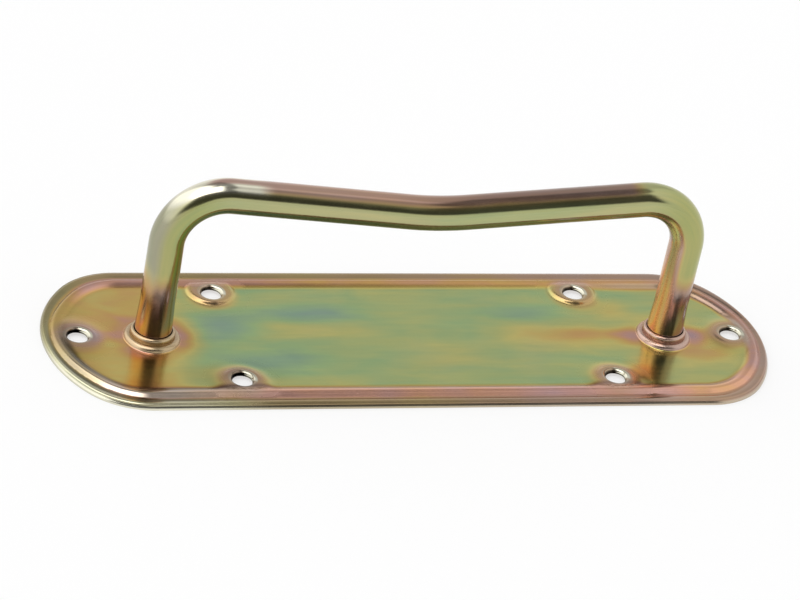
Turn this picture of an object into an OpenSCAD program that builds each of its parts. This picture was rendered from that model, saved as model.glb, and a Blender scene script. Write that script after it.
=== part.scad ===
// Plate handle: a bent round bar riveted to a pressed steel plate with rounded ends.
// Millimetres. X runs along the plate, Z points away from the mounting surface, and the origin is in
// the middle of the plate's back face.

/* [Plate] */
// Length of the plate
plate_l = 260; // [252:1:320]
// Width of the plate
plate_w = 80; // [76:1:110]
// Thickness of the pressed sheet
sheet_t = 1.5; // [1.2:0.1:1.9]
// Length of each rounded end, measured along the plate
end_l = 31.5; // [29:0.5:36]
// Radius of the outline where a rounded end meets the straight sides
corner_r = 27; // [22:0.5:28]
// Radius of the rounded shoulder along the plate's outer edge
edge_r = 1.1; // [0.4:0.1:1.1]

/* [Raised rim] */
// Distance from the plate's edge to the crest of the rim bead
bead_in = 5.2; // [4.8:0.1:6.5]
// Height of the bead and of the screw pads above the panel
bead_h = 1.3; // [0.8:0.1:1.8]
// Radius of the bead's rounded crest
bead_r = 2.6; // [2.2:0.1:3]
// Radius of the hollow blend from the bead down to the panel
bead_foot_r = 7; // [2:0.5:9]
// Radius of the hollow blend from the bead down to the outer lip
lip_foot_r = 0.6; // [0.3:0.1:1.2]

/* [Screw holes] */
// Distance between the two end holes
end_hole_gap = 236; // [228:1:238]
// Distance along the plate between the side holes
side_hole_gap_x = 133; // [60:1:150]
// Distance across the plate between the side holes
side_hole_gap_y = 51.5; // [48:0.5:54]
// Diameter of the screw holes
hole_d = 6.8; // [4:0.1:7]
// Diameter of the rounded mouth of each countersink on its pad
sink_d = 10; // [8.5:0.1:10.2]
// Radius of the rounding of a countersink's mouth
sink_round_r = 1; // [0.2:0.1:1.5]
// Radius of the raised pad round each hole, at the panel
pad_r = 9.8; // [9.2:0.1:12]
// How far the pads lie below the bead's crest
pad_below = 0.1; // [0.05:0.05:0.3]
// Distance from a hole's centre to its pad's centre, towards the rim
pad_out = 1.9; // [0:0.1:4]
// Inside radius of the pressed bend round the top of a pad
pad_bend_r = 0.2; // [0.1:0.1:1]
// Radius of the hollow blend round the foot of a pad
pad_foot_r = 1.3; // [0.5:0.1:2]

/* [Collars] */
// Diameter of the ring round the foot of each collar
foot_ring_d = 19.4; // [18.6:0.1:24]
// Radius of the rounding of that ring
foot_ring_r = 1.7; // [1:0.1:2]
// Wall of each collar beside its bore
collar_wall = 1; // [0.7:0.1:1.4]
// Radius of the rounded ring at the top of each collar
lip_ring_r = 1; // [0.7:0.1:1.3]
// Height of each collar above the panel
collar_h = 3.8; // [3.4:0.1:7]
// Depth of the waist between a collar's two rings
waist_in = 0.4; // [0.1:0.1:0.6]
// Gap between a collar's bore and the foot of the leg in it
rod_gap = 0.3; // [0.1:0.05:0.5]

/* [Handle] */
// Distance between the two legs
leg_gap = 185; // [140:1:200]
// Diameter of the round bar
rod_d = 12; // [8:0.1:12.5]
// Height of the bar's axis at its two corners
corner_h = 58.3; // [45:0.1:90]
// Radius of the two corners at the bar's axis
bend_r = 18.5; // [14:0.5:30]
// Slope of the grip from each corner down to the middle, in degrees
grip_slope = 5.2; // [0.5:0.1:8]
// Radius of the blend in the middle of the grip at the bar's axis
mid_r = 115; // [40:5:300]
// Diameter of the thickened foot of each leg
foot_d = 12.8; // [12.6:0.1:13.2]
// Length over which each leg thickens to its foot
foot_taper_l = 12; // [4:1:20]
// Distance from the plate's back face to the riveted ends
rivet_in = 0.4; // [0.1:0.1:0.8]
// Width of the riveted rim outside the foot of the leg
rivet_w = 1.8; // [1:0.1:1.9]

/* [Hidden] */
$fn = 96;

plate_colour = [0.62, 0.58, 0.36];
rod_colour = [0.66, 0.62, 0.44];

// Stretches that follow each other run into each other by this length, and every second one is
// slimmer by a hair, so that they always join as one solid
join = 0.3;
hair = 0.01;
// How far a cutting shape reaches past what it cuts
past = 1;
// How far a raised shape starts below the surface that it stands on
root = 0.4;
// Width of the flat sheet's band along the edge
band_w = 14;
// Number of straight steps in each rounding of a section
arc_steps = 5;

// Centres and angles of the outline: corner arcs and one larger arc round each tip
corner_x = plate_l / 2 - end_l;
corner_y = plate_w / 2 - corner_r;
tip_r = (pow(end_l, 2) + pow(corner_y, 2) - pow(corner_r, 2)) / (2 * (end_l - corner_r));
tip_x = plate_l / 2 - tip_r;
tip_angle = atan2(corner_y, corner_x - tip_x);

// Rim bead, as distance from the plate's edge and height
bead_top_z = sheet_t + bead_h;
bead_centre = [bead_in, bead_top_z - bead_r];

// Pads, as distance from a pad's centre and height
pad_h = bead_h - pad_below;
pad_top_z = sheet_t + pad_h;
pad_bend_outer_r = pad_bend_r + sheet_t;
pad_top_r = pad_r - fall_w(pad_bend_outer_r, pad_foot_r, pad_h);
pad_bend_centre = [pad_top_r, pad_top_z - pad_bend_outer_r];

// The places of the screw holes
HOLES = [
    for (sx = [-1, 1]) [sx * end_hole_gap / 2, 0],
    for (sx = [-1, 1], sy = [-1, 1]) [sx * side_hole_gap_x / 2, sy * side_hole_gap_y / 2]
];

// Collars and riveted ends
bore_r = foot_d / 2 + rod_gap;
collar_r = bore_r + collar_wall;
collar_top_z = sheet_t + collar_h;
rivet_r = foot_d / 2 + rivet_w;
rivet_top_z = rivet_in + rivet_w;

// Bar: the corners' centres, the ends of the corners, and the blend in the middle
bend_x = leg_gap / 2 - bend_r;
bend_z = corner_h - bend_r;
bend_angle = 90 + grip_slope;
slope_x = bend_x + bend_r * cos(bend_angle);
slope_z = bend_z + bend_r * sin(bend_angle);
mid_x = mid_r * sin(grip_slope);
mid_centre_z = slope_z - (slope_x - mid_x) * tan(grip_slope) + mid_r * cos(grip_slope);
slope_l = (slope_x - mid_x) / cos(grip_slope);
taper_top_z = collar_top_z + foot_taper_l;

// A fall by the height h is a rounded edge of radius r and a hollow blend of radius rf that touch.
// Its width, and the angle that the two arcs turn through
function fall_w(r, rf, h) = sqrt(h * (2 * (r + rf) - h));
function fall_turn(r, rf, h) = acos(1 - h / (r + rf));

// Points on an arc round c from angle a0 to a1, without those before the step that is named first
function arc(c, r, a0, a1, first = 0) = [
    for (i = [first:arc_steps])
        let (a = a0 + (a1 - a0) * i / arc_steps)
        c + r * [cos(a), sin(a)]
];

// Points down a fall whose rounded edge has its centre at c. The surface lies deeper by the distance
// deep, as the sheet's back does.
function fall(c, r, rf, h, deep) =
    let (turn = fall_turn(r, rf, h), hollow_c = c + (r + rf) * [sin(turn), cos(turn)])
    concat(arc(c, r - deep, 90, 90 - turn), arc(hollow_c, rf + deep, 270 - turn, 270, first = 1));

// The points of a fall, mirrored about x and in reverse order, without the one at the top
function mirrored(points, x) = [for (i = [len(points) - 1:-1:1]) [2 * x - points[i][0], points[i][1]]];

// Points along the right half of the plate's outline, moved inwards by the distance inset
function half_outline(inset) = concat(
    arc([corner_x, -corner_y], corner_r - inset, -90, -tip_angle),
    arc([tip_x, 0], tip_r - inset, -tip_angle, tip_angle, first = 1),
    arc([corner_x, corner_y], corner_r - inset, tip_angle, 90, first = 1));

// Carries a section once round the plate's outline. Its first child is the section for the four
// corners, and its second, which differs by a hair, is the one for the sides and the tips.
module along_outline() {
    for (sy = [0, 1]) mirror([0, sy, 0])
        translate([0, plate_w / 2, 0]) rotate([90, 0, -90])
            linear_extrude(height = 2 * (corner_x + join), center = true) children(1);
    for (sx = [0, 1]) mirror([sx, 0, 0]) {
        translate([tip_x, 0, 0]) arc_sweep(tip_r, -tip_angle, tip_angle, join) children(1);
        for (sy = [0, 1]) mirror([0, sy, 0])
            translate([corner_x, corner_y, 0]) arc_sweep(corner_r, tip_angle, 90, 0) children(0);
    }
}

module arc_sweep(radius, a0, a1, reach) {
    more = reach / radius * 180 / PI;
    rotate([0, 0, a0 - more]) rotate_extrude(angle = a1 - a0 + 2 * more)
        translate([radius, 0]) mirror([1, 0]) children();
}

// Section of the bead from the level base up. With deep at 0 its top is the bead, and with deep at
// the sheet's thickness its top is the back of the sheet under the bead.
module bead_section(deep, base, slim) {
    inner = fall(bead_centre, bead_r, bead_foot_r, bead_h, deep + slim);
    outer = mirrored(fall(bead_centre, bead_r, lip_foot_r, bead_h, deep + slim), bead_in);
    points = concat(outer, inner);
    polygon(concat(points, [[points[len(points) - 1][0], base], [points[0][0], base]]));
}

module bead(deep, base) {
    along_outline() {
        bead_section(deep, base, hair);
        bead_section(deep, base, 2 * hair);
    }
}

// Section of the flat sheet along the plate's edge, with the rounded shoulder. It reaches in by the
// distance reach, which differs between stretches so that their inner sides cross.
module sheet_section(slim, reach) {
    polygon(concat([[slim, 0]], arc([slim + edge_r, sheet_t - edge_r], edge_r, 180, 90),
        [[reach, sheet_t], [reach, 0]]));
}

// The flat sheet: a band along the edge, and the panel inside it
module flat_sheet() {
    along_outline() {
        sheet_section(hair, band_w);
        sheet_section(0, band_w + past);
    }
    linear_extrude(height = sheet_t) polygon(concat(half_outline(band_w / 2),
        [for (p = half_outline(band_w / 2)) -p]));
}

// The six pads as far out as the bead's crest, or with deep at the sheet's thickness the hollows
// under them
module pads(deep, base) {
    h = bead_top_z + past - base;
    inner_w = plate_w - 2 * bead_in;
    for (sx = [-1, 1]) intersection() {
        translate([sx * (end_hole_gap / 2 + pad_out), 0, 0]) pad(deep, base);
        translate([sx * tip_x, 0, base]) cylinder(h = h, r = tip_r - bead_in);
    }
    for (sx = [-1, 1], sy = [-1, 1]) intersection() {
        translate([sx * side_hole_gap_x / 2, sy * (side_hole_gap_y / 2 + pad_out), 0]) pad(deep, base);
        translate([-plate_l / 2, -inner_w / 2, base]) cube([plate_l, inner_w, h]);
    }
}

module pad(deep, base) {
    points = fall(pad_bend_centre, pad_bend_outer_r, pad_foot_r, pad_h, deep + hair);
    rotate_extrude() polygon(concat([[0, base], [0, points[0][1]]], points, [[pad_r, base]]));
}

// A collar: a rounded ring at the foot, a waist and a rounded ring at the top
module collar() {
    rotate_extrude() difference() {
        union() {
            translate([0, sheet_t - root]) square([foot_ring_d / 2 - foot_ring_r, root + foot_ring_r]);
            translate([foot_ring_d / 2 - foot_ring_r, sheet_t]) circle(foot_ring_r);
            square([collar_r - waist_in, collar_top_z - lip_ring_r]);
            translate([collar_r - lip_ring_r, collar_top_z - lip_ring_r]) circle(lip_ring_r);
        }
        square([bore_r, collar_top_z + past]);
        translate([0, sheet_t - root - foot_ring_d]) square(foot_ring_d);
    }
}

// The bore for a leg, with the flared mouth at the back that the riveted end fills
module rivet_bore() {
    translate([0, 0, -past]) cylinder(h = collar_top_z + 2 * past, r = bore_r);
    translate([0, 0, rivet_in]) cylinder(h = rivet_w, r1 = rivet_r, r2 = rivet_r - rivet_w);
    translate([0, 0, -past]) cylinder(h = past + rivet_in, r = rivet_r);
}

// A screw hole with a right-angled countersink whose mouth is rounded
module screw_hole() {
    mouth = arc([sink_d / 2, pad_top_z - sink_round_r], sink_round_r, 90, 135);
    cone_top = mouth[len(mouth) - 1];
    cone_h = cone_top[0] - hole_d / 2;
    translate([0, 0, -past]) cylinder(h = pad_top_z + past, d = hole_d);
    rotate_extrude() polygon(concat([[sink_d / 2, pad_top_z + past]], mouth,
        [[hole_d / 2, cone_top[1] - cone_h], [0, cone_top[1] - cone_h], [0, pad_top_z + past]]));
}

module back_plate() {
    color(plate_colour) difference() {
        union() {
            flat_sheet();
            bead(0, sheet_t - root);
            pads(0, sheet_t - root);
            for (sx = [-1, 1]) translate([sx * leg_gap / 2, 0, 0]) collar();
        }
        bead(sheet_t, -past);
        pads(sheet_t, -past);
        for (hole = HOLES) translate(hole) screw_hole();
        for (sx = [-1, 1]) translate([sx * leg_gap / 2, 0, 0]) rivet_bore();
    }
}

// One half of the bar: the riveted end, the leg, the corner and the slope towards the middle
module rod_half() {
    translate([leg_gap / 2, 0, 0]) {
        translate([0, 0, rivet_in]) cylinder(h = rivet_w, r1 = rivet_r, r2 = foot_d / 2);
        translate([0, 0, rivet_top_z]) cylinder(h = collar_top_z - rivet_top_z, d = foot_d);
        translate([0, 0, collar_top_z]) cylinder(h = foot_taper_l, d1 = foot_d, d2 = rod_d);
        translate([0, 0, taper_top_z]) cylinder(h = bend_z - taper_top_z, d = rod_d);
    }
    translate([bend_x, 0, bend_z]) rotate([90, 0, 0])
        rotate_extrude(angle = bend_angle) translate([bend_r, 0]) circle(d = rod_d);
    translate([slope_x, 0, slope_z]) rotate([0, -bend_angle, 0])
        translate([0, 0, -join]) cylinder(h = slope_l + 2 * join, r = rod_d / 2 - hair);
}

module handle_rod() {
    color(rod_colour) {
        for (side = [0, 1]) mirror([side, 0, 0]) rod_half();
        translate([0, 0, mid_centre_z]) rotate([90, 0, 0]) rotate([0, 0, -90 - grip_slope])
            rotate_extrude(angle = 2 * grip_slope) translate([mid_r, 0]) circle(d = rod_d);
    }
}

back_plate();
handle_rod();
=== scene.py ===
"""Looks of the plate handle: the yellow zinc plate and bar, the floor, the light and the camera.

Lengths in the geometry code are in millimetres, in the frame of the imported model, and become metres
when a mesh is made.
"""

import math
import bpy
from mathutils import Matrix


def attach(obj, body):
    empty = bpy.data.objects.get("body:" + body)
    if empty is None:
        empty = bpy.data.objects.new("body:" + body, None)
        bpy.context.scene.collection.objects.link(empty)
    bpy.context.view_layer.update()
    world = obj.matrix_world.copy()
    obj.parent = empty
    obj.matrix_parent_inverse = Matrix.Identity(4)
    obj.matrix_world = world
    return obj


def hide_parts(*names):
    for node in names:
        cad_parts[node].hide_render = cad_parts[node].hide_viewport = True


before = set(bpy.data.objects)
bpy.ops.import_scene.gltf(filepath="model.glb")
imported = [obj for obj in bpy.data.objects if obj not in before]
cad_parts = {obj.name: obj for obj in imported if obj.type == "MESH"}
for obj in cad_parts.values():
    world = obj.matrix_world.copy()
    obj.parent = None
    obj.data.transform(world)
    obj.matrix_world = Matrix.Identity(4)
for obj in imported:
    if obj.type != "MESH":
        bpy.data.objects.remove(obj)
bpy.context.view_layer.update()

from types import SimpleNamespace

import bpy
import numpy as np
from mathutils import Matrix, Vector
from mathutils.geometry import delaunay_2d_cdt

MM = 0.001

# The plate's outline and holes, as in the part's source
PLATE_L, PLATE_W, SHEET_T = 260.0, 80.0, 1.5
END_L, CORNER_R = 31.5, 27.0
CORNER_X, CORNER_Y = PLATE_L / 2 - END_L, PLATE_W / 2 - CORNER_R
TIP_R = (END_L**2 + CORNER_Y**2 - CORNER_R**2) / (2 * (END_L - CORNER_R))
TIP_X = PLATE_L / 2 - TIP_R
TIP_ANGLE = math.atan2(CORNER_Y, CORNER_X - TIP_X)
END_HOLE_X, SIDE_HOLE_X, SIDE_HOLE_Y = 118.0, 66.5, 25.75
HOLES = [(sx * END_HOLE_X, 0.0) for sx in (-1, 1)]
HOLES += [(sx * SIDE_HOLE_X, sy * SIDE_HOLE_Y) for sx in (-1, 1) for sy in (-1, 1)]
HOLE_R, SINK_R, PAD_H, PAD_OUT = 3.4, 5.0, 1.2, 1.9
PAD_Z = SHEET_T + PAD_H

# The collars and the bar, as in the part's source
LEG_X, ROD_R, FOOT_R, BORE_R, COLLAR_Z = 92.5, 6.0, 6.4, 6.7, 5.3
RING_R, RING_ROUND, LIP_R, LIP_ROUND, WAIST_R = 9.7, 1.7, 7.7, 1.0, 7.3
RIVET_R, RIVET_IN, RIVET_W = 8.2, 0.4, 1.8
BEND_R, CORNER_H, SLOPE, MID_R, TAPER_L = 18.5, 58.3, math.radians(5.2), 115.0, 12.0

# The forms from here to the tips' bead differ a little from the source
# The countersinks' rounding, and the angle in degrees that it turns by
SINK_ROUND, SINK_STEEP = 1.6, 80.0
# The riveted ends bulge towards the back: share of the radius, and height
RIVET_HEAD = [(0.94, 0.3), (0.8, 0.24), (0.6, 0.2), (0.35, 0.18), (0.12, 0.17)]
RIVET_MIDDLE_Z = 0.165
# Outer radius, edge round and foot round of the pads at the back, at the front and at the tips
PAD_SHAPES = [(9.8, 1.2, 2.2), (13.0, 12.0, 13.0), (15.0, 20.0, 22.0)]
# The rim's slope in degrees, at distances in from the edge: a rolled edge, a groove, a bead, its foot
EDGE_R, EDGE_SLOPE = 1.2, 38
EDGE_IN = EDGE_R * (1 - math.sin(math.radians(EDGE_SLOPE)))
RIM_SLOPE = [
    (EDGE_IN, EDGE_SLOPE), (1.0, EDGE_SLOPE), (1.9, 0),
    (2.6, -9), (3.6, -16), (4.2, -16), (4.6, 0),
    (4.9, 24), (5.2, 39), (5.9, 39), (6.4, 22), (7.2, 0),
    (8.0, -14), (9.2, -26), (10.0, -24), (11.0, 0), (11.3, 0),
]
# At the tips the bead runs nearer to the edge, over this much of the width
TIP_SHIFT, TIP_SHIFT_Y = 2.2, 34.0

# Widths of blends that the source leaves sharp
PAD_BLEND, RING_FOOT_R, EDGE_BACK_R = 1.6, 0.6, 0.1
# Each pair is where a change starts and where it is full. Inwards from the edge, the pads rise
PAD_RISE = (5.8, 9.4)
# Towards a hole, the pad turns flat, and then so does its blend with the bead
LAND, MOUTH_EDGE = (7.0, 5.0), (6.4, 5.1)
# The panel's unevenness grows with the distance from the edge, from a hole and from a collar
WARP_FROM_EDGE, WARP_FROM_HOLE, WARP_FROM_COLLAR = (11, 19), (9, 15), (RING_R + 1, RING_R + 9)

# The rim's outer strip is a band of rings, and the rest is filled with triangles
STRIP_IN, STRIP_STEP, OUTLINE_STEP, RIM_SAMPLES = 3.5, 0.18, 1.5, 218
BACK_STRIP = (0.8, 1.2, 1.6, 2.0, 2.4, 2.8, 3.2, STRIP_IN)
HOLE_N, COLLAR_N, ROD_N = 64, 96, 72
# Distances at which points lie: from a hole or its pad's centre, in from the edge, and from a leg
FRONT_STEPS = (3.7, 4.0, 4.25, 4.35, 4.47, 4.6, 4.8, 4.97, 5.1, 5.5, *np.arange(5.9, 10.3, 0.25))
FRONT_STEPS += (10.8, 11.4, 12.0, 12.6, 13.2)
BACK_STEPS = (4.5, 5.5, 6.2, *np.arange(6.6, 10, 0.3))
FRONT_RIM_STEPS, BACK_RIM_STEPS = np.arange(3.7, 11.3, 0.25), np.arange(3.8, 10.9, 0.5)
COLLAR_STEPS = (10.9, 11.8, 13.2)
# Rings of points with a radius below this lie round a hole, and wider ones round its pad's centre
PAD_BEND_START = 6.0
# Spacing of the grid of points on the front and on the back, and its margin inside the outline's box
FRONT_GRID, BACK_GRID, GRID_MARGIN = 2.0, 6.0, 4.0
# The rings round the pads and the grid keep this far in from the edge
PAD_IN, GRID_IN = 5.0, 12.0
# The least distance between two points, on the front and on the back
FRONT_GAP, BACK_GAP = 0.17, 0.25
# Spacing of the bar's rings on the leg, and how many are in the bend, on the slope and in the middle
LEG_STEP, BEND_N, SLOPE_N, MIDDLE_N = 0.8, 41, 52, 10
# Slopes of the front are measured over this much on either side
SLOPE_STEP = 0.02
# An edge is sharp where its faces turn by more than this
SHARP_ANGLE = math.radians(40)


def arc(cx, cy, r, a0, a1, n):
    """n + 1 points on an arc, with its angles in degrees."""
    a = np.radians(np.linspace(a0, a1, n + 1))
    return np.stack([cx + r * np.cos(a), cy + r * np.sin(a)], 1)


def fall(cx, cz, r, foot_r, h, deep, n):
    """Points down a rounded edge and the hollow blend below it, at the given depth in the sheet."""
    turn = math.acos(1 - h / (r + foot_r))
    hx, hz = cx + (r + foot_r) * math.sin(turn), cz + (r + foot_r) * math.cos(turn)
    t = math.degrees(turn)
    top = arc(cx, cz, r - deep, 90, 90 - t, n)
    return np.concatenate([top, arc(hx, hz, foot_r + deep, 270 - t, 270, n)[1:]])


def rim_curve():
    """The rim's section as distance from the edge and height, from the rolled edge to the panel."""
    places, slopes = np.array(RIM_SLOPE).T
    s = np.linspace(places[0], places[-1], RIM_SAMPLES)
    slope = np.tan(np.radians(np.interp(s, places, slopes)))
    rise = np.concatenate([[0], np.cumsum((slope[1:] + slope[:-1]) / 2 * (s[1] - s[0]))])
    return np.stack([s, SHEET_T + rise - rise[-1]], 1)


def back_curve(front):
    """The section a sheet's thickness below another one."""
    s, z = front.T
    near = np.clip(1 - ((s[:, None] - s) / SHEET_T) ** 2, 0, None)
    return np.stack([s, np.where(near > 0, z - SHEET_T * np.sqrt(near), np.inf).min(1)], 1)


def pad_curve(deep, radius, bend_r, foot_r):
    """A pad's section as distance from its centre and height."""
    r = bend_r + SHEET_T
    width = math.sqrt(PAD_H * (2 * (r + foot_r) - PAD_H))
    return fall(radius - width, PAD_Z - r, r, foot_r, PAD_H, deep, 30)


RIM_FRONT = rim_curve()
RIM_BACK = back_curve(RIM_FRONT)
LIP_Z = RIM_FRONT[0, 1]
PADS_FRONT = [pad_curve(0.0, *shape) for shape in PAD_SHAPES]
PADS_BACK = [pad_curve(SHEET_T, *shape) for shape in PAD_SHAPES]
MOUTH = arc(SINK_R, PAD_Z - SINK_ROUND, SINK_ROUND, 90 + SINK_STEEP, 90, 20)
LAND_Z = float(np.interp(HOLE_R, MOUTH[:, 0], MOUTH[:, 1]))


def ramp(value, start, end):
    """0 at start to 1 at end."""
    return np.clip((value - start) / (end - start), 0, 1)


def ease(value, start, end):
    """0 at start to 1 at end, smooth at both."""
    t = ramp(value, start, end)
    return t * t * (3 - 2 * t)


def edge_distance(x, y):
    """Distance inwards from the plate's outline."""
    ax, ay = np.abs(x), np.abs(y)
    side = PLATE_W / 2 - ay
    angle = np.arctan2(ay - CORNER_Y, ax - CORNER_X)
    corner = CORNER_R - np.hypot(ax - CORNER_X, ay - CORNER_Y)
    tip = TIP_R - np.hypot(ax - TIP_X, ay)
    return np.where(ax <= CORNER_X, side, np.where(angle >= TIP_ANGLE, corner, tip))


def hole_distance(x, y):
    """Distance from the nearest hole's centre."""
    return np.min([np.hypot(x - hx, y - hy) for hx, hy in HOLES], axis=0)


def pad_centre(hx, hy):
    """The centre of a hole's pad, which lies a little nearer to the edge."""
    if hy == 0:
        return hx + math.copysign(PAD_OUT, hx), 0.0
    return hx, hy + math.copysign(PAD_OUT, hy)


def pad_kind(hy):
    """The place in PAD_SHAPES of the pad round a hole."""
    if hy == 0:
        return 2
    return 0 if hy > 0 else 1


def rim_place(x, y):
    """Where a point lies on the rim's section."""
    s = edge_distance(x, y)
    shift = TIP_SHIFT * np.clip(1 - (y / TIP_SHIFT_Y) ** 2, 0, None) ** 2
    return s + shift * np.clip(s / STRIP_IN, 0, 1)


def raised(x, y, rim, sections, floor):
    """Height of the bead and the pads together, blended where they meet."""
    s = rim_place(x, y)
    bead = np.interp(s, rim[:, 0], rim[:, 1])
    pads = np.full(np.shape(x), floor)
    for hx, hy in HOLES:
        px, py = pad_centre(hx, hy)
        pad = sections[pad_kind(hy)]
        pads = np.maximum(pads, np.interp(np.hypot(x - px, y - py), pad[:, 0], pad[:, 1]))
    pads = floor + (pads - floor) * ease(s, *PAD_RISE)
    hole = hole_distance(x, y)
    pads = pads + (floor + PAD_H - pads) * ease(hole, *LAND)
    # The blend is narrower where the lower of the two is low, and near the top
    low, high = np.minimum(bead, pads) - floor, np.maximum(bead, pads) - floor
    k = PAD_BLEND * np.clip(low / PAD_BLEND, 1e-3, 1.0) * np.clip((PAD_H + 0.1 - high) / 0.6, 0.1, 1.0)
    h = np.maximum(k - (high - low), 0.0)
    z = np.maximum(bead, pads) + h * h / (4 * k)
    return z + (floor + PAD_H - z) * ease(hole, *MOUTH_EDGE)


def warp(x, y):
    """The small unevenness that pressing leaves in the flat panel."""
    return (
        0.050 * np.sin(x / 31.0 + 0.8) * np.cos(y / 23.0 + 0.4)
        + 0.030 * np.sin(x / 13.0 + y / 17.0 + 2.0)
        + 0.016 * np.sin(x / 7.1 - y / 9.3 + 1.0)
    )


def front_height(x, y):
    """Height of the sheet's front face."""
    z = raised(x, y, RIM_FRONT, PADS_FRONT, SHEET_T)
    hole = hole_distance(x, y)
    uneven = ramp(edge_distance(x, y), *WARP_FROM_EDGE) * ramp(hole, *WARP_FROM_HOLE)
    for lx in (-LEG_X, LEG_X):
        uneven = uneven * ramp(np.hypot(x - lx, y), *WARP_FROM_COLLAR)
    z = z + warp(x, y) * uneven
    return np.where(hole < SINK_R, np.interp(hole, MOUTH[:, 0], MOUTH[:, 1]), z)


def back_height(x, y):
    """Height of the sheet's back face, with the hollows behind the bead and the pads."""
    return np.maximum(raised(x, y, RIM_BACK, PADS_BACK, 0.0), 0.0)


class Surface:
    """Collects the points and faces of one closed surface, in millimetres."""

    def __init__(self):
        self.points, self.faces, self.count = [], [], 0

    def add(self, points):
        """Adds points and returns their numbers."""
        points = np.asarray(points, float)
        ids = np.arange(self.count, self.count + len(points))
        self.points.append(points)
        self.count += len(points)
        return ids

    def bands(self, rings, flip=False):
        """Quads between closed rings that have the same number of points."""
        for a, b in zip(rings, rings[1:]):
            if flip:
                a, b = b, a
            self.faces.extend(np.stack([a, np.roll(a, -1), np.roll(b, -1), b], 1).tolist())

    def fan(self, ring, centre, flip=False):
        """Triangles from a ring to a point."""
        pairs = zip(ring.tolist(), np.roll(ring, -1).tolist())
        self.faces.extend([b, a, centre] if flip else [a, b, centre] for a, b in pairs)

    def fill(self, outer, circles, free, height, gap, flip=False):
        """Triangles inside a ring and outside circles, ending on their points and on free points."""
        rings = [outer] + [ids for ids, _ in circles]
        flat = np.concatenate(self.points)[:, :2]
        edge = np.concatenate([flat[ids] for ids in rings])
        edges, first = [], 0
        for ids in rings:
            n = len(ids)
            edges += [(first + k, first + (k + 1) % n) for k in range(n)]
            first += n
        keep = edge_distance(free[:, 0], free[:, 1]) > STRIP_IN + gap
        for _, (cx, cy, r) in circles:
            keep &= np.hypot(free[:, 0] - cx, free[:, 1] - cy) > r + gap
        free = thin_out(free[keep], gap)
        xy = np.concatenate([edge, free])
        out = delaunay_2d_cdt([Vector(p) for p in xy.tolist()], edges, [], 0, 1e-7)
        if len(out[0]) != len(xy):
            raise ValueError("the triangulation added or joined points")
        order = np.array([o[0] for o in out[3]])
        tri = order[np.array(out[2])]
        # A triangle with all its corners on one circle lies inside that hole
        on_ring = np.full(len(xy), -1)
        on_ring[len(outer) : len(edge)] = np.repeat(range(len(circles)), [len(c[0]) for c in circles])
        on_ring = on_ring[tri]
        hole = (on_ring[:, 0] >= 0) & (on_ring == on_ring[:, :1]).all(1)
        tri = tri[~hole]
        p, q, r = xy[tri[:, 0]], xy[tri[:, 1]], xy[tri[:, 2]]
        up = (q[:, 0] - p[:, 0]) * (r[:, 1] - p[:, 1]) > (q[:, 1] - p[:, 1]) * (r[:, 0] - p[:, 0])
        tri = np.where((up != flip)[:, None], tri, tri[:, ::-1])
        inner = self.add(np.column_stack([free, height(free[:, 0], free[:, 1])]))
        self.faces.extend(np.concatenate(rings + [inner])[tri].tolist())


def thin_out(points, gap):
    """The points without each that lies nearer than gap to one before it."""
    cells, kept = {}, []
    for x, y in points.tolist():
        i, j = math.floor(x / gap), math.floor(y / gap)
        near = [p for a in (-1, 0, 1) for b in (-1, 0, 1) for p in cells.get((i + a, j + b), ())]
        if all((x - p[0]) ** 2 + (y - p[1]) ** 2 >= gap * gap for p in near):
            cells.setdefault((i, j), []).append((x, y))
            kept.append((x, y))
    return np.array(kept)


def circle(cx, cy, r, n, z=0.0):
    """n points on a level circle."""
    a = np.linspace(0, 2 * math.pi, n, endpoint=False)
    return np.stack([cx + r * np.cos(a), cy + r * np.sin(a), np.full(n, float(z))], 1)


def outline(step):
    """Points once round the plate's edge, counter-clockwise, and normals that point inwards."""
    points, normals = [], []

    def add_arc(cx, cy, r, a0, a1):
        n = max(2, round(abs(a1 - a0) * r / step))
        a = np.linspace(a0, a1, n, endpoint=False)
        points.append(np.stack([cx + r * np.cos(a), cy + r * np.sin(a)], 1))
        normals.append(-np.stack([np.cos(a), np.sin(a)], 1))

    half = math.pi / 2
    for turn, sign in ((0.0, 1), (math.pi, -1)):
        add_arc(sign * CORNER_X, -sign * CORNER_Y, CORNER_R, turn - half, turn - TIP_ANGLE)
        add_arc(sign * TIP_X, 0.0, TIP_R, turn - TIP_ANGLE, turn + TIP_ANGLE)
        add_arc(sign * CORNER_X, sign * CORNER_Y, CORNER_R, turn + TIP_ANGLE, turn + half)
        n = round(2 * CORNER_X / step)
        x = np.linspace(sign * CORNER_X, -sign * CORNER_X, n, endpoint=False)
        points.append(np.stack([x, np.full(n, sign * PLATE_W / 2)], 1))
        normals.append(np.stack([np.zeros(n), np.full(n, -float(sign))], 1))
    return np.concatenate(points), np.concatenate(normals)


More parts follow.
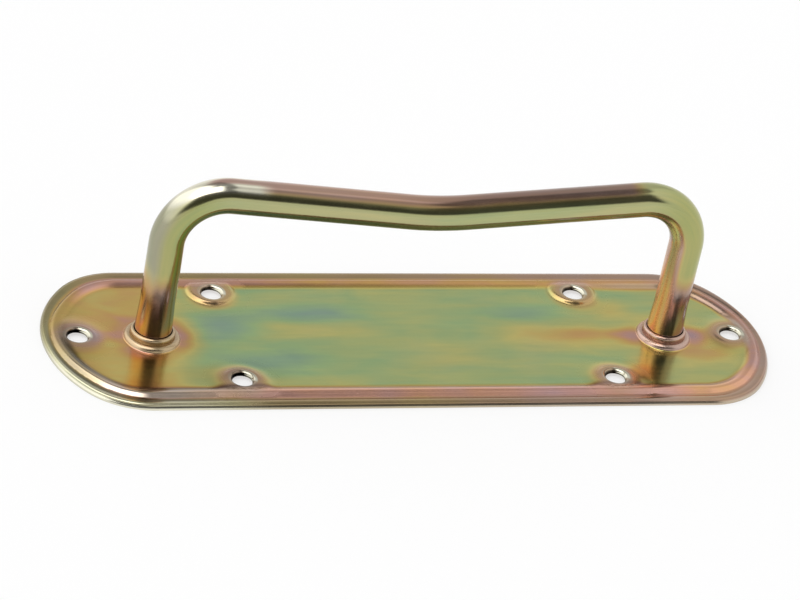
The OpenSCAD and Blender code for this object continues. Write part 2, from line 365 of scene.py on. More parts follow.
def free_points(edge, inward, rim_steps, pad_steps, grid_step):
    """Points where the sheet bends: along the rim, round the pads and holes, and over the panel."""
    parts = []
    near = [r for r in pad_steps if r < PAD_BEND_START]
    wide = [r for r in pad_steps if r >= PAD_BEND_START]
    for hx, hy in HOLES:
        parts += [circle(hx, hy, r, HOLE_N)[:, :2] for r in near]
    for hx, hy in HOLES:
        around = np.concatenate([circle(*pad_centre(hx, hy), r, COLLAR_N)[:, :2] for r in wide])
        parts.append(around[edge_distance(around[:, 0], around[:, 1]) > PAD_IN])
    parts += [edge + s * inward for s in rim_steps]
    for lx in (-LEG_X, LEG_X):
        parts += [circle(lx, 0, r, COLLAR_N)[:, :2] for r in COLLAR_STEPS]
    half_l, half_w = PLATE_L / 2 - GRID_MARGIN, PLATE_W / 2 - GRID_MARGIN
    spread = [np.arange(-half, half + 0.1, grid_step) for half in (half_l, half_w)]
    grid = np.stack([v.ravel() for v in np.meshgrid(*spread)], 1)
    parts.append(grid[edge_distance(grid[:, 0], grid[:, 1]) > GRID_IN])
    return np.concatenate(parts)


def collar_section():
    """Radius and height from the panel over a collar's two rings, and down its bore to the back."""
    ring_foot = math.sqrt((RING_ROUND + RING_FOOT_R) ** 2 - RING_FOOT_R**2)
    foot_turn = math.degrees(math.asin(RING_FOOT_R / (RING_ROUND + RING_FOOT_R)))
    ring_c, lip_c = RING_R - RING_ROUND, LIP_R - LIP_ROUND
    ring_end = math.degrees(math.acos((WAIST_R - ring_c) / RING_ROUND))
    lip_start = -math.degrees(math.acos((WAIST_R - lip_c) / LIP_ROUND))
    return np.concatenate([
        arc(ring_c + ring_foot, SHEET_T + RING_FOOT_R, RING_FOOT_R, 270, 180 + foot_turn, 4),
        arc(ring_c, SHEET_T, RING_ROUND, foot_turn, ring_end, 16)[1:],
        arc(lip_c, COLLAR_Z - LIP_ROUND, LIP_ROUND, lip_start, 90, 14),
        [[BORE_R, COLLAR_Z - 0.3], [BORE_R, RIVET_IN + RIVET_R - BORE_R], [RIVET_R, RIVET_IN]],
        [[RIVET_R, 0.0]],
    ])


def plate_surface():
    """The pressed plate with its collars, as one closed surface, and where its front faces lie."""
    sheet = Surface()
    edge, inward = outline(OUTLINE_STEP)

    def edge_ring(s, z=None, height=None):
        xy = edge + s * inward
        if height is not None:
            z = height(xy[:, 0], xy[:, 1])
        return sheet.add(np.column_stack([xy, np.broadcast_to(z, len(xy))]))

    # The strip along the edge, from the front over the rolled edge to the back
    front = [edge_ring(s, height=front_height) for s in np.arange(STRIP_IN, EDGE_IN + 0.1, -STRIP_STEP)]
    shoulder_z = LIP_Z - EDGE_R * math.cos(math.radians(EDGE_SLOPE))
    shoulder = arc(EDGE_R, shoulder_z, EDGE_R, 90 + EDGE_SLOPE, 180, 9)
    below = arc(EDGE_BACK_R, EDGE_BACK_R, EDGE_BACK_R, 180, 270, 3)
    strip = front + [edge_ring(s, z=z) for s, z in np.concatenate([shoulder, below])]
    strip += [edge_ring(s, height=back_height) for s in BACK_STRIP]
    sheet.bands(strip, flip=True)

    # The walls of the holes
    hole_front = [sheet.add(circle(hx, hy, HOLE_R, HOLE_N, LAND_Z)) for hx, hy in HOLES]
    hole_back = []
    for (hx, hy), top in zip(HOLES, hole_front):
        ring = circle(hx, hy, HOLE_R, HOLE_N)
        ring[:, 2] = back_height(ring[:, 0], ring[:, 1])
        hole_back.append(sheet.add(ring))
        sheet.bands([top, hole_back[-1]])

    section = collar_section()
    collars = []
    for lx in (-LEG_X, LEG_X):
        rings = [sheet.add(circle(lx, 0, r, COLLAR_N, z)) for r, z in section]
        sheet.bands(rings)
        collars.append((lx, rings[0], rings[-1]))

    first_face = len(sheet.faces)
    free = free_points(edge, inward, FRONT_RIM_STEPS, FRONT_STEPS, FRONT_GRID)
    circles = [(ids, (hx, hy, HOLE_R)) for ids, (hx, hy) in zip(hole_front, HOLES)]
    circles += [(ids, (lx, 0, section[0, 0])) for lx, ids, _ in collars]
    sheet.fill(front[0], circles, free, front_height, FRONT_GAP)
    last_face = len(sheet.faces)

    free = free_points(edge, inward, BACK_RIM_STEPS, BACK_STEPS, BACK_GRID)
    circles = [(ids, (hx, hy, HOLE_R)) for ids, (hx, hy) in zip(hole_back, HOLES)]
    circles += [(ids, (lx, 0, RIVET_R)) for lx, _, ids in collars]
    sheet.fill(strip[-1], circles, free, back_height, BACK_GAP, flip=True)
    return sheet, (first_face, last_face)


def rod_path():
    """Stations along the bar as x, z, the direction's x and z, and the radius."""
    leg = []
    for z in (RIVET_IN, 0.7, 1.0, 1.3, 1.6, 1.9, 2.2):
        leg.append((LEG_X, z, 0.0, 1.0, FOOT_R + max(0.0, RIVET_W - (z - RIVET_IN))))
    for z in (2.8, 3.6, 4.4, COLLAR_Z):
        leg.append((LEG_X, z, 0.0, 1.0, FOOT_R))
    bend_z, bend_x = CORNER_H - BEND_R, LEG_X - BEND_R
    for z in np.arange(COLLAR_Z + LEG_STEP, bend_z - 0.3, LEG_STEP):
        taper = (FOOT_R - ROD_R) * ease(z, COLLAR_Z, COLLAR_Z + TAPER_L)
        leg.append((LEG_X, z, 0.0, 1.0, FOOT_R - taper))
    for a in np.linspace(0, math.pi / 2 + SLOPE, BEND_N):
        x, z = bend_x + BEND_R * math.cos(a), bend_z + BEND_R * math.sin(a)
        leg.append((x, z, -math.sin(a), math.cos(a), ROD_R))
    x1, z1 = leg[-1][:2]
    x2 = MID_R * math.sin(SLOPE)
    z2 = z1 - (x1 - x2) * math.tan(SLOPE)
    for t in np.linspace(0, 1, SLOPE_N)[1:]:
        leg.append((x1 + (x2 - x1) * t, z1 + (z2 - z1) * t, -math.cos(SLOPE), -math.sin(SLOPE), ROD_R))
    mid_z = z2 + MID_R * math.cos(SLOPE)
    for a in np.linspace(SLOPE, 0, MIDDLE_N)[1:]:
        leg.append((MID_R * math.sin(a), mid_z - MID_R * math.cos(a), -math.cos(a), -math.sin(a), ROD_R))
    other = [(-x, z, tx, -tz, r) for x, z, tx, tz, r in leg[-2::-1]]
    return leg + other


def rod_surface():
    """The bent bar with its two riveted ends, and each point's place along it and round it."""
    bar = Surface()
    rings, along, around = [], [], []
    a = np.linspace(0, 2 * math.pi, ROD_N, endpoint=False)
    ring_place = np.stack([np.zeros(ROD_N), np.cos(a), np.sin(a)], 1)
    travel, last = 0.0, None
    for x, z, tx, tz, r in rod_path():
        across, side = np.array([-tz, 0.0, tx]), np.array([0.0, 1.0, 0.0])
        centre = np.array([x, 0.0, z])
        travel += 0.0 if last is None else np.linalg.norm(centre - last)
        last = centre
        rings.append(bar.add(centre + r * (np.cos(a)[:, None] * side + np.sin(a)[:, None] * across)))
        along.append(np.full(ROD_N, travel))
        around.append(r * ring_place)
    bar.bands(rings)
    for ring, x, place, flip in ((rings[0], LEG_X, 0.0, True), (rings[-1], -LEG_X, travel, False)):
        head = [ring]
        points = np.concatenate(bar.points)[ring]
        for share, z in RIVET_HEAD:
            inner = points.copy()
            inner[:, :2] = [x, 0] + (points[:, :2] - [x, 0]) * share
            inner[:, 2] = z
            head.append(bar.add(inner))
            along.append(np.full(ROD_N, place))
            around.append(share * RIVET_R * ring_place)
        bar.bands(head, flip=flip)
        bar.fan(head[-1], int(bar.add([[x, 0.0, RIVET_MIDDLE_Z]])[0]), flip=flip)
        along.append([place])
        around.append(np.zeros((1, 3)))
    return bar, np.concatenate(along), np.concatenate(around)


def use_height_normals(mesh, points, front):
    """Gives the faces numbered by front their normals from the height formula."""
    corners = np.zeros(len(mesh.loops) * 3, np.float32)
    mesh.corner_normals.foreach_get("vector", corners)
    corners = corners.reshape(-1, 3)
    vertex = np.zeros(len(mesh.loops), np.int32)
    mesh.loops.foreach_get("vertex_index", vertex)
    first = mesh.polygons[front[0]].loop_start
    last = mesh.polygons[front[1] - 1].loop_start + mesh.polygons[front[1] - 1].loop_total
    x, y = points[vertex[first:last], 0], points[vertex[first:last], 1]
    step = SLOPE_STEP
    dx = (front_height(x + step, y) - front_height(x - step, y)) / (2 * step)
    dy = (front_height(x, y + step) - front_height(x, y - step)) / (2 * step)
    exact = np.stack([-dx, -dy, np.ones_like(dx)], 1)
    corners[first:last] = exact / np.linalg.norm(exact, axis=1)[:, None]
    mesh.normals_split_custom_set(corners.tolist())


def make_object(name, surface, front=None):
    """A smooth mesh object in metres, with its sharp edges marked."""
    points = np.concatenate(surface.points)
    mesh = bpy.data.meshes.new(name)
    mesh.from_pydata((points * MM).tolist(), [], surface.faces)
    mesh.shade_smooth()
    mesh.set_sharp_from_angle(angle=SHARP_ANGLE)
    if front is not None:
        use_height_normals(mesh, points, front)
    piece = bpy.data.objects.new(name, mesh)
    bpy.context.scene.collection.objects.link(piece)
    return piece


class Nodes:
    """Short calls that add nodes to a tree. A value is a number or another node's output."""

    def __init__(self, tree):
        self.tree = tree

    def link(self, value, socket):
        if hasattr(value, "is_output"):
            self.tree.links.new(value, socket)
        else:
            socket.default_value = value

    def node(self, kind, *values, **settings):
        made = self.tree.nodes.new(kind)
        for name, value in settings.items():
            setattr(made, name, value)
        for socket, value in zip(made.inputs, values):
            self.link(value, socket)
        return made

    def math(self, operation, *values):
        return self.node("ShaderNodeMath", *values, operation=operation).outputs[0]

    def vector(self, operation, *values):
        made = self.node("ShaderNodeVectorMath", *values, operation=operation)
        return made.outputs["Value" if operation == "LENGTH" else "Vector"]

    def split(self, vector):
        return self.node("ShaderNodeSeparateXYZ", vector).outputs

    def join(self, *values):
        return self.node("ShaderNodeCombineXYZ", *values).outputs[0]

    def product(self, *values):
        out = values[0]
        for value in values[1:]:
            out = self.math("MULTIPLY", out, value)
        return out

    def total(self, start, *terms):
        """A number plus the terms, each a factor and the value that it multiplies."""
        out = start
        for factor, value in terms:
            out = self.math("MULTIPLY_ADD", value, factor, out)
        return out

    def smooth(self, value, start, end):
        """0 at start and 1 at end, eased at both."""
        made = self.node("ShaderNodeMapRange", interpolation_type="SMOOTHSTEP")
        low, high = min(start, end), max(start, end)
        ends = (0.0, 1.0) if start < end else (1.0, 0.0)
        names = ("Value", "From Min", "From Max", "To Min", "To Max")
        for name, v in zip(names, (value, low, high, *ends)):
            self.link(v, made.inputs[name])
        return made.outputs["Result"]

    def band(self, value, start, full, fade, end):
        """1 from full to fade, and eased down to 0 at start and at end."""
        return self.product(self.smooth(value, start, full), self.smooth(value, end, fade))

    def patch(self, vector, centre, reach):
        """1 at a centre, falling softly to 0 at the given reach along each axis."""
        offset = self.vector("SUBTRACT", vector, (*centre, 0.0))
        share = self.vector("LENGTH", self.vector("MULTIPLY", offset, (1 / reach[0], 1 / reach[1], 0.0)))
        return self.smooth(share, 1.0, 0.0)

    def patches(self, vector, table):
        """The terms for a total of patches: centre, reach and change."""
        return [(change, self.patch(vector, centre, reach)) for centre, reach, change in table]

    def noise(self, vector, size, detail=2.0, distortion=0.0):
        """Noise round 0, about -0.5 to 0.5, with patches of the given size along each axis.

        It doesn't change along an axis whose size is 0.
        """
        made = self.node("ShaderNodeTexNoise")
        scaled = self.vector("MULTIPLY", vector, tuple(1.0 / s if s else 0.0 for s in size))
        for name, v in (("Vector", scaled), ("Scale", 1.0), ("Detail", detail), ("Distortion", distortion)):
            self.link(v, made.inputs[name])
        return self.math("SUBTRACT", made.outputs[0], 0.5)

    def blend(self, a, b, share):
        """A number between a and b."""
        made = self.node("ShaderNodeMix", data_type="FLOAT", clamp_factor=True)
        for socket, v in zip((made.inputs[0], made.inputs[2], made.inputs[3]), (share, a, b)):
            self.link(v, socket)
        return made.outputs[0]

    def mix_colour(self, mode, share, a, b):
        made = self.node("ShaderNodeMix", data_type="RGBA", blend_type=mode, clamp_factor=True)
        for socket, v in zip((made.inputs[0], made.inputs[6], made.inputs[7]), (share, a, b)):
            self.link(v, socket)
        return made.outputs[2]

    def grey(self, value):
        """The same number as a grey colour."""
        return self.node("ShaderNodeCombineColor", value, value, value).outputs[0]

    def millimetres(self, vector):
        made = self.node("ShaderNodeVectorMath", vector, operation="SCALE")
        made.inputs["Scale"].default_value = 1 / MM
        return made.outputs["Vector"]


# The plating's film shifts in colour as it gets thicker: place on the scale, and linear colour
FILM = [
    (0.00, (0.27, 0.36, 0.34)),
    (0.12, (0.27, 0.41, 0.28)),
    (0.28, (0.35, 0.49, 0.23)),
    (0.42, (0.48, 0.50, 0.19)),
    (0.54, (0.60, 0.52, 0.17)),
    (0.64, (0.61, 0.43, 0.13)),
    (0.73, (0.59, 0.35, 0.13)),
    (0.82, (0.56, 0.30, 0.20)),
    (0.91, (0.50, 0.29, 0.26)),
    (1.00, (0.40, 0.28, 0.32)),
]
# Where the film is thin, the pale metal shows
PALE = (0.52, 0.50, 0.40)
# Distance between the dark specks on the plate
SPECK_GAP = 9.0

# Patches on the plate where the film is thicker or thinner: centre, reach (mm), and change
PATCHES = [
    ((-113, 15), (14, 10), -0.05),
    ((-103, -2), (22, 20), 0.05),
    ((-98, -10), (10, 8), 0.16),
    ((-81, 0), (10, 17), 0.34),
    ((-72, -22), (15, 9), 0.20),
    ((-66, 6), (22, 14), -0.30),
    ((-50, -15), (26, 12), -0.20),
    ((-38, 14), (34, 8), -0.26),
    ((-30, -27), (60, 6), 0.07),
    ((-8, 3), (46, 9), 0.05),
    ((46, 15), (24, 7), -0.18),
    ((54, 1), (46, 13), 0.27),
    ((66, 2), (30, 6), 0.13),
    ((69, -24), (18, 11), 0.26),
    ((77, 17), (14, 10), 0.24),
    ((79, -20), (9, 12), 0.28),
    ((80, 0), (11, 9), 0.24),
    ((102, -22), (20, 7), -0.04),
    ((104, 0), (11, 8), 0.36),
    ((106, -10), (17, 9), 0.24),
]
# Spots beside the holes, on their pads too
SPOTS = [((-112, -1), (9, 7), 0.14), ((-72, 29), (9, 8), 0.08), ((-59, 24), (8, 9), -0.04)]
# Darker and lighter patches
SHADES = [((-80, 0), (12, 16), -0.10), ((-69, -23), (26, 12), -0.22), ((84, -36), (24, 7), 0.20)]


def new_material(name):
    material = bpy.data.materials.new(name)
    material.use_nodes = True
    return material, Nodes(material.node_tree), material.node_tree.nodes["Principled BSDF"]


def film_colour(tree, thickness):
    scale = tree.node("ShaderNodeValToRGB", thickness)
    stops = scale.color_ramp.elements
    stops[0].position, stops[1].position = FILM[0][0], FILM[-1][0]
    stops[0].color, stops[1].color = (*FILM[0][1], 1), (*FILM[-1][1], 1)
    for place, colour in FILM[1:-1]:
        stops.new(place).color = (*colour, 1)
    return scale.outputs["Color"]


def finish_zinc(tree, shader, film, thin, value, rough, bump_height):
    """Sets the film's colour, paler where it is thin, times a value, and the roughness and bump (mm)."""
    worn = tree.mix_colour("MIX", thin, film_colour(tree, film), (*PALE, 1))
    bump = tree.node("ShaderNodeBump")
    bump.inputs["Strength"].default_value = 1.0
    bump.inputs["Distance"].default_value = MM
    tree.link(bump_height, bump.inputs["Height"])
    shader.inputs["Metallic"].default_value = 1.0
    tree.link(tree.mix_colour("MULTIPLY", 1.0, worn, tree.grey(value)), shader.inputs["Base Color"])
    tree.link(rough, shader.inputs["Roughness"])
    tree.link(bump.outputs["Normal"], shader.inputs["Normal"])


def hole_offset(tree, x, y):
    """Where a point lies seen from the nearest hole's centre."""
    at_end = tree.math("GREATER_THAN", tree.math("ABSOLUTE", x), (SIDE_HOLE_X + END_HOLE_X) / 2)
    hole_x = tree.total(SIDE_HOLE_X, (END_HOLE_X - SIDE_HOLE_X, at_end))
    hole_y = tree.total(SIDE_HOLE_Y, (-SIDE_HOLE_Y, at_end))
    hole_x = tree.product(tree.math("SIGN", x), hole_x)
    hole_y = tree.product(tree.math("SIGN", y), hole_y)
    return tree.math("SUBTRACT", x, hole_x), tree.math("SUBTRACT", y, hole_y)


def plate_masks(tree):
    """Places on the plate, its noises, and masks that are 1 on a part of it and 0 elsewhere."""
    m = SimpleNamespace()
    m.place = tree.millimetres(tree.node("ShaderNodeTexCoord").outputs["Object"])
    m.x, m.y, z = tree.split(m.place)
    m.rim = tree.node("ShaderNodeAttribute", attribute_name="rim_distance").outputs["Fac"]
    leg_x = tree.math("SUBTRACT", tree.math("ABSOLUTE", m.x), LEG_X)
    m.leg = tree.vector("LENGTH", tree.join(leg_x, m.y))
    m.off_x, m.off_y = hole_offset(tree, m.x, m.y)
    m.hole = tree.vector("LENGTH", tree.join(m.off_x, m.off_y))

    # Streaks along the rolling direction, drifting patches, and a few specks
    m.broad = tree.noise(m.place, (58, 20, 0), 2.0, 0.6)
    m.cloud = tree.noise(m.place, (24, 13, 0), 2.0, 0.8)
    m.streak = tree.noise(m.place, (40, 7.0, 0), 2.0, 0.4)
    m.fine = tree.noise(m.place, (18, 1.3, 0), 2.0)
    m.drift = tree.noise(m.place, (30, 30, 0), 2.0)
    speck = tree.node("ShaderNodeTexVoronoi", feature="F1")
    tree.link(tree.vector("MULTIPLY", m.place, (1 / SPECK_GAP,) * 3), speck.inputs["Vector"])
    m.dot = tree.smooth(speck.outputs["Distance"], 0.07, 0.02)

    # Regions of the plate, the left end's front corner among them
    m.right, m.left_end = tree.smooth(m.x, -60, 90), tree.smooth(m.x, -76, -92)
    m.far_left = tree.smooth(m.x, -108, -122)
    m.front, m.back = tree.smooth(m.y, -16, -30), tree.smooth(m.y, 18, 26)
    m.corner = tree.product(tree.smooth(m.y, 12, -20), tree.smooth(m.x, -52, -92))
    m.back_right = tree.product(tree.smooth(m.x, 60, 92), tree.smooth(m.y, -20, 6))

    # Parts of the pressing
    m.outer = tree.smooth(m.rim, 5.0, 3.4)
    m.bead = tree.band(m.rim, 4.2, 5.4, 8.5, 10.5)
    m.wall = tree.product(tree.smooth(m.rim, 0.9, 0.1), tree.smooth(z, 1.6, 1.0))
    m.pad = tree.smooth(tree.total(m.hole, (3.0, m.drift)), 11.0, 5.5)
    m.collar = tree.product(tree.smooth(m.leg, 10.8, 10.0), tree.smooth(z, 1.6, 1.85))
    m.right_collar = tree.product(m.collar, tree.smooth(m.x, -40, 40))
    # Each hole's mouth has a painted highlight on one side: paler and lighter there
    glint = tree.smooth(tree.total(0.0, (0.86, m.off_x), (0.5, m.off_y)), 2.4, 3.3)
    m.glint = tree.product(glint, tree.smooth(m.hole, 5.3, 4.5))
    return m


def plate_film(tree, m):
    """How thick the film is on the plate, from 0 to 1."""
    panel = tree.total(
        0.355, (0.40, m.broad), (0.18, m.cloud), (0.20, m.streak), (0.03, m.fine), (0.25, m.left_end),
        (0.08, tree.smooth(m.x, 84, 98)), *tree.patches(m.place, PATCHES),
        (0.11, tree.smooth(m.leg, 17, 10)), (0.22, tree.product(m.left_end, m.cloud)),
    )
    # The bead is rose and copper, drifting to mauve and tan along its length. The edge is olive to taupe
    rear = tree.product(tree.smooth(m.y, 20, 34), tree.smooth(m.x, -60, -10))
    crest = tree.total(0.86, (0.36, m.drift), (0.26, m.streak), (-0.12, rear), (-0.20, m.far_left))
    lip = tree.total(
        0.68, (0.16, m.right), (-0.16, m.corner), (-0.10, m.far_left), (0.3, m.drift), (0.1, m.fine)
    )
    # The rim's colours reach further onto the panel at the front, at the back and at the right
    inwards = tree.total(
        m.rim, (-1.8, m.front), (-1.5, m.back_right), (-0.9, m.back), (2.4, m.drift), (1.6, m.streak)
    )
    film = tree.blend(tree.blend(crest, lip, m.outer), panel, tree.smooth(inwards, 7.6, 10.9))
    # The pads are taupe to rose, and the collars cream and orange on the left and rose on the right
    film = tree.blend(film, tree.total(0.85, (0.4, m.drift), (0.2, m.fine)), tree.product(m.pad, 0.8))
    film = tree.total(film, *tree.patches(m.place, SPOTS))
    collar_film = tree.total(0.74, (0.16, m.right_collar), (0.5, m.drift))
    return tree.blend(film, collar_film, tree.product(m.collar, 0.8))


def plate_thin(tree, m):
    """Where the plate's film is thin: on the edge, on worn crests, in the mouths and on the collars. It is
    also thinned for painted highlights on the edge wall, on the crests at the left end's front corner and
    on one side of each mouth.
    """
    back_crest = tree.product(m.back_right, tree.band(m.rim, 7.6, 9.0, 10.0, 11.0))
    return tree.total(
        0.0, (0.34, m.outer), (0.42, tree.product(m.outer, m.corner)), (0.4, m.wall),
        (0.60, tree.product(m.bead, m.corner)), (0.35, back_crest), (0.48, m.collar),
        (-0.18, m.right_collar), (0.28, tree.smooth(m.hole, 5.4, 4.8)), (0.6, m.glint), (0.25, m.pad),
        (0.3, m.drift),
    )


def plate_value(tree, m):
    """How light the plate is: painted shade in its hollows, at the bead's foot and in its bores, and
    painted highlights on its crests, its edge wall and the hole mouths.
    """
    # Painted shade at the bead's inner foot, mostly at the front and most at the left end's front corner,
    # where the groove between the rolled edge and the bead is darkened as painted shade too
    foot = tree.product(tree.band(m.rim, 8.4, 9.8, 10.4, 12.6), tree.total(0.20, (0.80, m.front)))
    corner_foot_shade = tree.product(tree.band(m.rim, 7.0, 8.2, 9.4, 11.5), m.corner)
    groove = tree.product(tree.band(m.rim, 1.9, 2.8, 4.3, 5.1), m.corner)
    # A painted lighter line inside the bead along the back
    back_bead_light = tree.product(tree.band(m.rim, 7.2, 8.2, 10.0, 11.4), m.back)
    # Painted shade in each bore, darkest on its far side
    far_side_shade = tree.total(0.35, (0.65, tree.smooth(tree.total(m.off_y, (-0.15, m.off_x)), 1.2, 2.8)))
    bore = tree.product(tree.smooth(m.hole, 4.3, 3.6), far_side_shade)
    # Painted light: the edge wall lighter, the rolled edge and bead at the left end's front corner and the
    # bead along the front lighter as painted highlights, and the right collar a little lighter
    return tree.total(
        0.93, (0.12, m.streak), (0.10, m.cloud), (0.08, m.fine), (-0.45, m.dot), (0.25, m.wall),
        (-0.30, m.outer), (0.14, tree.product(m.outer, m.right)), (0.60, tree.product(m.outer, m.corner)),
        (0.04, tree.product(m.bead, m.corner)), (0.32, tree.product(m.bead, m.front)), (-0.16, m.far_left),
        (-0.28, foot), (-0.72, corner_foot_shade), (-0.62, groove), (0.20, back_bead_light), (-0.78, bore),
        (0.55, m.glint), (-0.1, m.pad), (0.08, m.right_collar), *tree.patches(m.place, SHADES),
    )


def plate_zinc():
    material, tree, shader = new_material("plate_zinc_plating")
    m = plate_masks(tree)
    grain = tree.noise(m.place, (0.9, 0.9, 0.9), 3.0)
    mottle = tree.noise(m.place, (14, 6, 14), 3.0)
    lines = tree.noise(m.place, (9, 0.35, 0), 2.0)
    flank = tree.band(m.hole, 5.5, 8.0, 12.0, 15.0)
    rough = tree.total(
        0.20, (0.10, mottle), (0.08, m.fine), (0.05, grain), (0.2, m.dot), (0.10, flank), (0.08, m.collar)
    )
    bump = tree.total(0.0, (0.0035, grain), (0.0020, lines), (0.020, mottle), (-0.01, m.dot))
    film, thin, value = plate_film(tree, m), plate_thin(tree, m), plate_value(tree, m)
    finish_zinc(tree, shader, film, thin, value, rough, bump)
    return material


def bar_masks(tree):
    """Places on the bar, its noises, and masks that are 1 on a part of it and 0 elsewhere."""
    m = SimpleNamespace()
    coords = tree.node("ShaderNodeTexCoord").outputs
    m.place = tree.millimetres(coords["Object"])
    x, _, z = tree.split(m.place)
    facing_x, facing_y, facing_z = tree.split(coords["Normal"])
    # Along the bar in x, and round it in y and z, so that noise can stretch along the bar
    along = tree.node("ShaderNodeAttribute", attribute_name="along_bar").outputs["Fac"]
    around = tree.node("ShaderNodeAttribute", attribute_name="around_bar").outputs["Vector"]
    m.unrolled = tree.vector("ADD", around, tree.join(along))
    m.broad = tree.noise(m.unrolled, (60, 12, 12), 2.0, 0.4)
    m.streak = tree.noise(m.unrolled, (34, 2.6, 2.6), 3.0)
    m.fine = tree.noise(m.unrolled, (12, 0.8, 0.8), 2.0)

    # The grip, its top, the right half of its top in painted shade, its underside (rose in film and darker
    # with painted shade), and a strip along the front of its left half darkened as a painted dark
    # reflection
    m.grip = tree.product(tree.smooth(z, 42, 52), tree.smooth(tree.math("ABSOLUTE", x), 88, 72))
    m.top = tree.product(tree.smooth(facing_z, 0.55, 0.92), tree.smooth(z, 40, 56), tree.smooth(x, 74, 66))
    m.dark_top = tree.product(m.top, tree.smooth(x, -25, 25))
    m.below = tree.smooth(facing_z, -0.15, -0.42)
    m.strip = tree.product(
        tree.band(facing_z, 0.39, 0.50, 0.86, 0.93), tree.smooth(facing_y, -0.2, -0.5), m.grip,
        tree.smooth(x, 15, -15),
    )
    # The left bend has a painted highlight on top: lighter and paler
    m.shine = tree.product(
        tree.band(facing_z, 0.5, 0.75, 0.93, 1.0), tree.smooth(x, -58, -66), tree.smooth(z, 40, 50)
    )
    # The legs turn from green to rose near the plate, lower down in front than at the sides
    m.foot = tree.smooth(tree.total(z, (-6.0, facing_y)), 38, 26)
    # The inner side of the right leg, painted lighter, and the inner and outer sides of the left one, the
    # inner side in painted shade
    right_leg, left_leg = tree.smooth(x, 0, 40), tree.smooth(x, 0, -40)
    m.inner = tree.product(tree.smooth(facing_x, -0.25, -0.6), right_leg)
    m.shaded = tree.product(tree.smooth(facing_x, 0.25, 0.75), left_leg)
    m.left = tree.product(tree.smooth(facing_x, -0.2, -0.8), left_leg)
    m.inner_foot = tree.product(m.inner, m.foot)
    m.shaded_foot = tree.product(m.shaded, m.foot)
    m.left_foot = tree.product(m.left, m.foot)
    return m


def bar_zinc():
    material, tree, shader = new_material("bar_zinc_plating")
    m = bar_masks(tree)
    film = tree.total(
        0.42, (0.28, m.broad), (0.20, m.streak), (0.05, m.fine), (0.45, m.top), (0.34, m.below),
        (0.50, m.foot), (0.44, m.inner), (-0.58, m.inner_foot), (0.28, m.shaded), (-0.42, m.shaded_foot),
        (-0.16, m.left_foot),
    )
    # Painted shade on the underside, the right half of the top, the front strip and the left leg's inner
    # side; painted light on the left bend's highlight and the right leg's inner side
    value = tree.total(
        0.77, (0.09, m.grip), (0.12, m.streak), (0.08, m.fine), (-0.14, m.below), (-0.28, m.dark_top),
        (-0.34, m.strip), (0.65, m.shine), (0.02, m.foot), (0.20, m.inner), (0.32, m.inner_foot),
        (-0.22, m.shaded), (0.20, m.shaded_foot), (-0.08, m.left), (0.22, m.left_foot),
    )
    thin = tree.total(
        0.06, (0.20, m.grip), (0.5, m.broad), (0.60, m.below), (0.75, m.shine), (0.32, m.foot),
        (0.32, m.inner), (-0.60, m.inner_foot), (0.70, m.left), (-0.95, m.left_foot),
    )
    grain = tree.noise(m.place, (0.9, 0.9, 0.9), 3.0)
    mottle = tree.noise(m.place, (9, 9, 9), 3.0)
    lines = tree.noise(m.unrolled, (14, 0.3, 0.3), 2.0)
    rough = tree.total(0.15, (0.10, mottle), (0.08, m.fine), (0.05, grain), (0.12, m.inner))
    bump = tree.total(0.0, (0.0030, grain), (0.0030, lines), (0.012, mottle))
    finish_zinc(tree, shader, film, thin, value, rough, bump)
    return material


# The floor lies a hair below the plate's back, and this share of it is plain white to the camera and
# to reflections. The rest keeps the shadow
FLOOR_Z, FLOOR_GLOW = -0.05, 0.6


def add_floor():
    bpy.ops.mesh.primitive_plane_add(size=30.0)
    floor = bpy.context.object
    floor.name = "floor"
    floor.location.z = FLOOR_Z * MM
    material, tree, shader = new_material("floor_white")
    shader.inputs["Base Color"].default_value = (0.92, 0.92, 0.92, 1)
    shader.inputs["Roughness"].default_value = 0.9
    shader.inputs["Specular IOR Level"].default_value = 0.0
    glow = tree.node("ShaderNodeEmission", (1, 1, 1, 1), 1.0)
    path = tree.node("ShaderNodeLightPath").outputs
    seen = tree.math("MAXIMUM", path["Is Camera Ray"], path["Is Glossy Ray"])
    seen = tree.math("MAXIMUM", seen, path["Is Transmission Ray"])
    share = tree.product(seen, FLOOR_GLOW)
    mixed = tree.node("ShaderNodeMixShader", share, shader.outputs[0], glow.outputs[0])
    tree.link(mixed.outputs[0], material.node_tree.nodes["Material Output"].inputs["Surface"])
    floor.data.materials.append(material)
    return floor


# Brightness of the room low down and higher up, of its ceiling and right wall, and of the dark card
ROOM_LOW, ROOM_HIGH, CEILING, RIGHT_WALL, DARK_CARD = 0.95, 0.75, 0.26, 1.0, 0.09
# Brightness of the large light on the left, low down and higher up, and of the one overhead
LEFT_LOW, LEFT_HIGH, OVERHEAD = 1.55, 2.2, 2.8


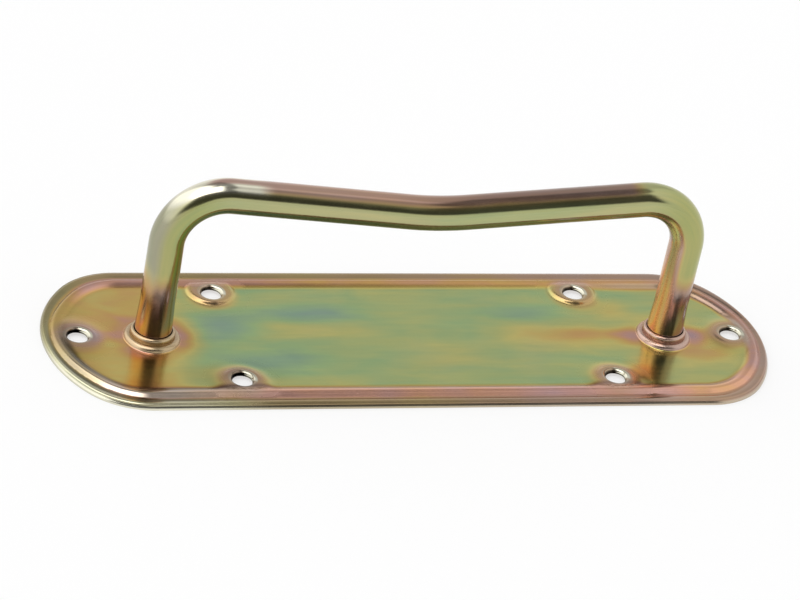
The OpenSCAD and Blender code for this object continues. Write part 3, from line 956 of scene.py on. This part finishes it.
def add_light():
    """A pale room with a large soft light on the left, one overhead, and a dark card in front.

    Azimuth 0 is in front of the handle, at -Y, and 90 at its right, at +X.
    """
    world = bpy.data.worlds.new("studio")
    bpy.context.scene.world = world
    world.use_nodes = True
    tree = Nodes(world.node_tree)
    east, north, zenith = tree.split(tree.node("ShaderNodeTexCoord").outputs["Generated"])
    azimuth = tree.product(tree.math("ARCTAN2", east, tree.product(north, -1.0)), 180 / math.pi)
    elevation = tree.product(tree.math("ARCSINE", zenith), 180 / math.pi)
    # Places on a level ceiling
    above = tree.math("MAXIMUM", zenith, 0.02)
    over_x, over_y = tree.math("DIVIDE", east, above), tree.math("DIVIDE", north, above)

    level = tree.blend(ROOM_LOW, ROOM_HIGH, tree.smooth(elevation, 12, 30))
    # The ceiling is dim, except at the right
    aside = tree.total(over_x, (0.35, over_y))
    dim = tree.product(tree.smooth(elevation, 36, 50), tree.smooth(aside, 0.50, 0.33))
    level = tree.blend(level, CEILING, dim)
    right = tree.product(tree.band(azimuth, 34, 50, 120, 136), tree.smooth(elevation, 72, 64))
    level = tree.blend(level, RIGHT_WALL, right)
    left = tree.product(tree.band(azimuth, -165, -147, -63, -45), tree.band(elevation, -1, 13, 67, 81))
    level = tree.blend(level, tree.blend(LEFT_LOW, LEFT_HIGH, tree.smooth(elevation, 42, 60)), left)
    # The dark card's lower edge is a little higher in the middle
    low = tree.total(elevation, (-7.0, tree.band(azimuth, -10, 2, 14, 26)))
    dark = tree.product(
        tree.band(azimuth, -60, -38, 30, 40), tree.smooth(low, 9, 18), tree.smooth(elevation, 64, 52)
    )
    level = tree.blend(level, DARK_CARD, dark)
    overhead = tree.product(
        tree.band(over_x, -0.86, -0.74, 0.0, 0.12), tree.band(over_y, -0.57, -0.43, 0.05, 0.19),
        tree.smooth(zenith, 0.3, 0.5),
    )
    level = tree.blend(level, OVERHEAD, overhead)
    background = world.node_tree.nodes["Background"]
    background.inputs["Strength"].default_value = 1.0
    tree.link(tree.grey(level), background.inputs["Color"])


# The camera, fitted to the photo: direction from the origin, roll, distance (m) and focal length (px)
AZIMUTH, ELEVATION, ROLL = math.radians(-21.089), math.radians(32.965), math.radians(11.630)
DISTANCE, FOCAL_PX = 1.1886, 3439.0
# The picture's size, and where in it the origin lies
PICTURE_PX, ORIGIN_PX = (800, 600), (412.4, 340.1)
SENSOR_MM = 36.0


def add_camera():
    data = bpy.data.cameras.new("camera")
    camera = bpy.data.objects.new("camera", data)
    bpy.context.scene.collection.objects.link(camera)
    bpy.context.scene.camera = camera
    data.sensor_width = SENSOR_MM
    data.lens = FOCAL_PX / PICTURE_PX[0] * SENSOR_MM
    data.clip_start, data.clip_end = 0.05, 50.0
    back = Vector((
        math.sin(AZIMUTH) * math.cos(ELEVATION),
        -math.cos(AZIMUTH) * math.cos(ELEVATION),
        math.sin(ELEVATION),
    ))
    across = (-back).cross(Vector((0, 0, 1))).normalized()
    rise = across.cross(-back)
    right = math.cos(ROLL) * across + math.sin(ROLL) * rise
    up = math.cos(ROLL) * rise - math.sin(ROLL) * across
    # The view turns a little, so that the origin lands on its place in the picture
    shift_x, shift_y = ORIGIN_PX[0] - PICTURE_PX[0] / 2, ORIGIN_PX[1] - PICTURE_PX[1] / 2
    aim = (-back * FOCAL_PX - shift_x * right + shift_y * up).normalized()
    right = (right - right.dot(aim) * aim).normalized()
    up = right.cross(aim)
    camera.matrix_world = Matrix((
        (right.x, up.x, -aim.x, back.x * DISTANCE),
        (right.y, up.y, -aim.y, back.y * DISTANCE),
        (right.z, up.z, -aim.z, back.z * DISTANCE),
        (0, 0, 0, 1),
    ))


sheet, front_faces = plate_surface()
plate = make_object("pressed_plate", sheet, front_faces)
points = np.concatenate(sheet.points)
distance = rim_place(points[:, 0], points[:, 1])
plate.data.attributes.new("rim_distance", "FLOAT", "POINT").data.foreach_set("value", distance)
plate.data.materials.append(plate_zinc())

skin, along, around = rod_surface()
bar = make_object("bent_bar", skin)
bar.data.attributes.new("along_bar", "FLOAT", "POINT").data.foreach_set("value", along)
bar.data.attributes.new("around_bar", "FLOAT_VECTOR", "POINT").data.foreach_set("vector", around.ravel())
bar.data.materials.append(bar_zinc())

for piece, node, slot in ((plate, "back_plate", "plate_zinc"), (bar, "handle_rod", "rod_zinc")):
    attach(piece, "root")
    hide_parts(node)

floor = add_floor()
add_light()
add_camera()
bpy.context.scene.view_settings.view_transform = "Standard"
